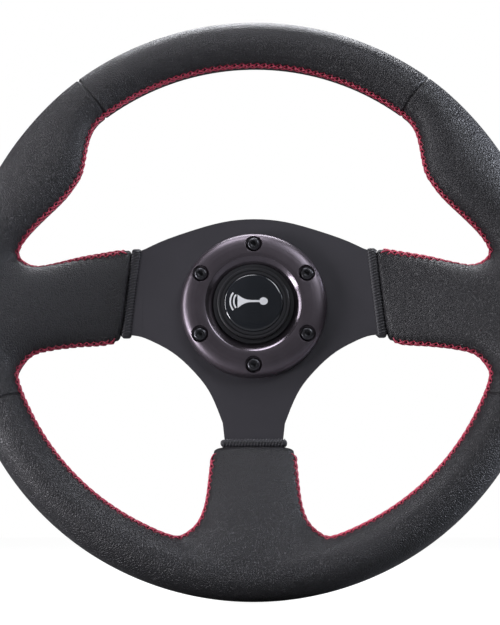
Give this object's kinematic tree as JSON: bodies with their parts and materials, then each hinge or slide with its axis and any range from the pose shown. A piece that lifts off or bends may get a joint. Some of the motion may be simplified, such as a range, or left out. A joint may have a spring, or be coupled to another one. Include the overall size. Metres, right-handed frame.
{
  "type": "quick release steering wheel",
  "caption": "Three-spoke leather sports steering wheel with thumb grips and a horn button, on a ball-lock hub that lets the wheel pull off its column.",
  "frame": {"origin": "centre of the release base's rear face, which bolts to the steering column", "axes": "Y along the wheel's axis with the driver on the -Y side, +Z to the top of the wheel, +X to the driver's right"},
  "size_m": [0.325, 0.088, 0.325],
  "materials": {
    "leather": "black, fine grain, semi-matt",
    "hem_leather": "black, thin, turned and whipped",
    "thread_red": "waxed crimson thread",
    "thread_black": "waxed black thread",
    "foam": "moulded polyurethane",
    "core_steel": "bare tube",
    "plate_black": "sand-blasted, black anodised",
    "ring_gunmetal": "turned, dark gunmetal anodised",
    "bolt_black": "black oxide",
    "horn_plastic": "satin moulded",
    "horn_lens": "clear polished dome",
    "badge_black": "printed disc under the lens",
    "badge_white": null,
    "brass": "bright",
    "insulator": "natural nylon",
    "spring_steel": "bright wire",
    "ball_steel": "hardened, polished",
    "anodised_black": "turned, black anodised",
    "collar_gunmetal": "turned, gunmetal anodised"
  },
  "bodies": {
    "base": {"release_base": "anodised_black", "contact_insulator": "insulator", "contact_track": "brass"},
    "wheel": {"rim_hoop": "core_steel", "spoke_plate": "plate_black", "rim_foam": "foam", "leather_top": "leather", "leather_right": "leather", "leather_left": "leather", "leather_bottom": "leather", "hem_right": "hem_leather", "hem_left": "hem_leather", "hem_bottom": "hem_leather", "horn_ring": "ring_gunmetal", "wheel_bolts": "bolt_black", "horn_housing": "horn_plastic", "horn_spring": "spring_steel", "horn_feed_contact": "brass", "horn_earth_contact": "brass", "feed_strip": "brass", "earth_strip": "brass", "contact_carrier": "insulator", "contact_pin_spring": "spring_steel", "release_socket": "anodised_black", "collar_spring": "spring_steel", "snap_ring": "spring_steel"},
    "collar": {"release_collar": "collar_gunmetal"},
    "horn_button": {"horn_cap": "horn_plastic", "horn_lens": "horn_lens", "horn_moving_contact": "brass"},
    "pin": {"contact_pin": "brass"},
    "ball_1": {"lock_ball_1": "ball_steel"},
    "ball_2": {"lock_ball_2": "ball_steel"},
    "ball_3": {"lock_ball_3": "ball_steel"},
    "ball_4": {"lock_ball_4": "ball_steel"},
    "ball_5": {"lock_ball_5": "ball_steel"},
    "ball_6": {"lock_ball_6": "ball_steel"}
  },
  "joints": [
    {"name": "wheel_pull_off", "type": "slide", "parent": "base", "child": "wheel", "axis": [0, -1, 0], "range_m": [0, 0.06]},
    {"name": "collar_pull", "type": "slide", "parent": "wheel", "child": "collar", "axis": [0, -1, 0], "range_m": [0, 0.006], "stiffness_N_per_m": 4000, "springref_m": -0.003, "deforming": ["collar_spring"]},
    {"name": "horn_press", "type": "slide", "parent": "wheel", "child": "horn_button", "axis": [0, 1, 0], "range_m": [0, 0.0024], "stiffness_N_per_m": 1500, "springref_m": -0.0015, "deforming": ["horn_spring"]},
    {"name": "contact_pin_press", "type": "slide", "parent": "wheel", "child": "pin", "axis": [0, -1, 0], "range_m": [0, 0.0015], "stiffness_N_per_m": 300, "springref_m": -0.001, "deforming": ["contact_pin_spring"]},
    {"name": "ball_1_release", "type": "slide", "parent": "wheel", "child": "ball_1", "axis": [0, 0, 1], "range_m": [0, 0.0015]},
    {"name": "ball_2_release", "type": "slide", "parent": "wheel", "child": "ball_2", "axis": [0.866, 0, 0.5], "range_m": [0, 0.0015]},
    {"name": "ball_3_release", "type": "slide", "parent": "wheel", "child": "ball_3", "axis": [0.866, 0, -0.5], "range_m": [0, 0.0015]},
    {"name": "ball_4_release", "type": "slide", "parent": "wheel", "child": "ball_4", "axis": [0, 0, -1], "range_m": [0, 0.0015]},
    {"name": "ball_5_release", "type": "slide", "parent": "wheel", "child": "ball_5", "axis": [-0.866, 0, -0.5], "range_m": [0, 0.0015]},
    {"name": "ball_6_release", "type": "slide", "parent": "wheel", "child": "ball_6", "axis": [-0.866, 0, 0.5], "range_m": [0, 0.0015]}
  ],
  "couplings": [
    {"joint": "ball_1_release", "follows": "collar_pull", "ratio": 0.2333},
    {"joint": "ball_2_release", "follows": "collar_pull", "ratio": 0.2333},
    {"joint": "ball_3_release", "follows": "collar_pull", "ratio": 0.2333},
    {"joint": "ball_4_release", "follows": "collar_pull", "ratio": 0.2333},
    {"joint": "ball_5_release", "follows": "collar_pull", "ratio": 0.2333},
    {"joint": "ball_6_release", "follows": "collar_pull", "ratio": 0.2333}
  ]
}
